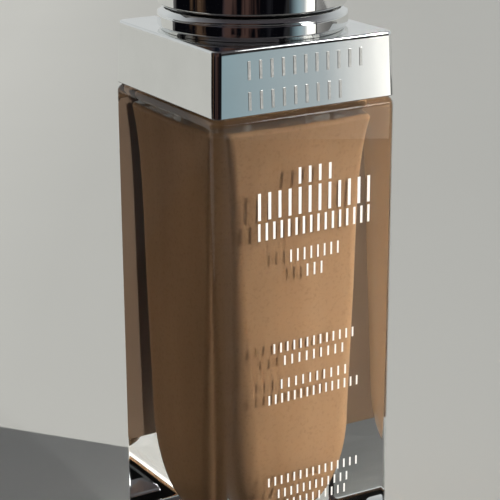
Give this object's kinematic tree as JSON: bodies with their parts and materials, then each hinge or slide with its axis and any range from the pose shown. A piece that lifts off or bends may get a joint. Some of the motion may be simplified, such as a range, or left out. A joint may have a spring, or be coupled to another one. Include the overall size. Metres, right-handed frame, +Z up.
{
  "type": "foundation bottle",
  "caption": "Square thick-walled glass foundation bottle with a chromed square collar, a treatment pump and a round chromed pull-off overcap.",
  "frame": {"origin": "centre of the base, on the surface that the bottle stands on", "axes": "+Z up along the bottle, -Y out of the printed front face, +X to the right of the front face"},
  "size_m": [0.033, 0.0332, 0.122],
  "materials": {
    "clear_glass": "clear polished",
    "foundation_liquid": "opaque tan cream",
    "white_ink": "screen print",
    "label_paper": "plain label",
    "back_label_film": "plain label",
    "collar_chrome": "mirror",
    "satin_chrome": "satin",
    "black_plastic": "matt black",
    "ring_chrome": "mirror",
    "white_plastic": "white moulded",
    "soft_seal": "soft polyethylene",
    "clear_white_plastic": "natural polypropylene",
    "ball_steel": "polished ball",
    "spring_steel": "drawn wire",
    "actuator_aluminium": "bright anodised",
    "overcap_chrome": "mirror"
  },
  "bodies": {
    "bottle": {"glass_bottle": "clear_glass", "foundation_fill": "foundation_liquid", "front_print": "white_ink", "base_label": "label_paper", "back_label": "back_label_film", "collar_shell": "collar_chrome", "collar_mark": "satin_chrome", "collar_liner": "black_plastic", "trim_ring": "ring_chrome", "snap_closure": "white_plastic", "neck_gasket": "soft_seal", "pump_housing": "clear_white_plastic", "housing_cap": "white_plastic", "dip_tube": "clear_white_plastic", "return_spring": "spring_steel"},
    "plunger": {"piston": "soft_seal", "stem": "white_plastic"},
    "push_head": {"actuator_body": "white_plastic", "actuator_shell": "actuator_aluminium", "nozzle_insert": "black_plastic"},
    "overcap": {"overcap_shell": "overcap_chrome", "overcap_liner": "white_plastic"},
    "inlet_valve": {"inlet_ball": "ball_steel"},
    "outlet_valve": {"outlet_ball": "ball_steel"}
  },
  "joints": [
    {"name": "overcap_pull", "type": "slide", "parent": "bottle", "child": "overcap", "axis": [0, 0, 1], "range_m": [0, 0.04]},
    {"name": "pump_press", "type": "slide", "parent": "bottle", "child": "plunger", "axis": [0, 0, -1], "range_m": [0, 0.0042], "stiffness_N_per_m": 700, "springref_m": -0.003, "deforming": ["return_spring"]},
    {"name": "push_head_swivel", "type": "hinge", "parent": "plunger", "child": "push_head", "pos_m": [0, 0, 0.1], "axis": [0, 0, 1], "continuous": true},
    {"name": "inlet_valve_lift", "type": "slide", "parent": "bottle", "child": "inlet_valve", "axis": [0, 0, 1], "range_m": [0, 0.0008]},
    {"name": "outlet_valve_lift", "type": "slide", "parent": "plunger", "child": "outlet_valve", "axis": [0, 0, 1], "range_m": [0, 0.0008]}
  ]
}
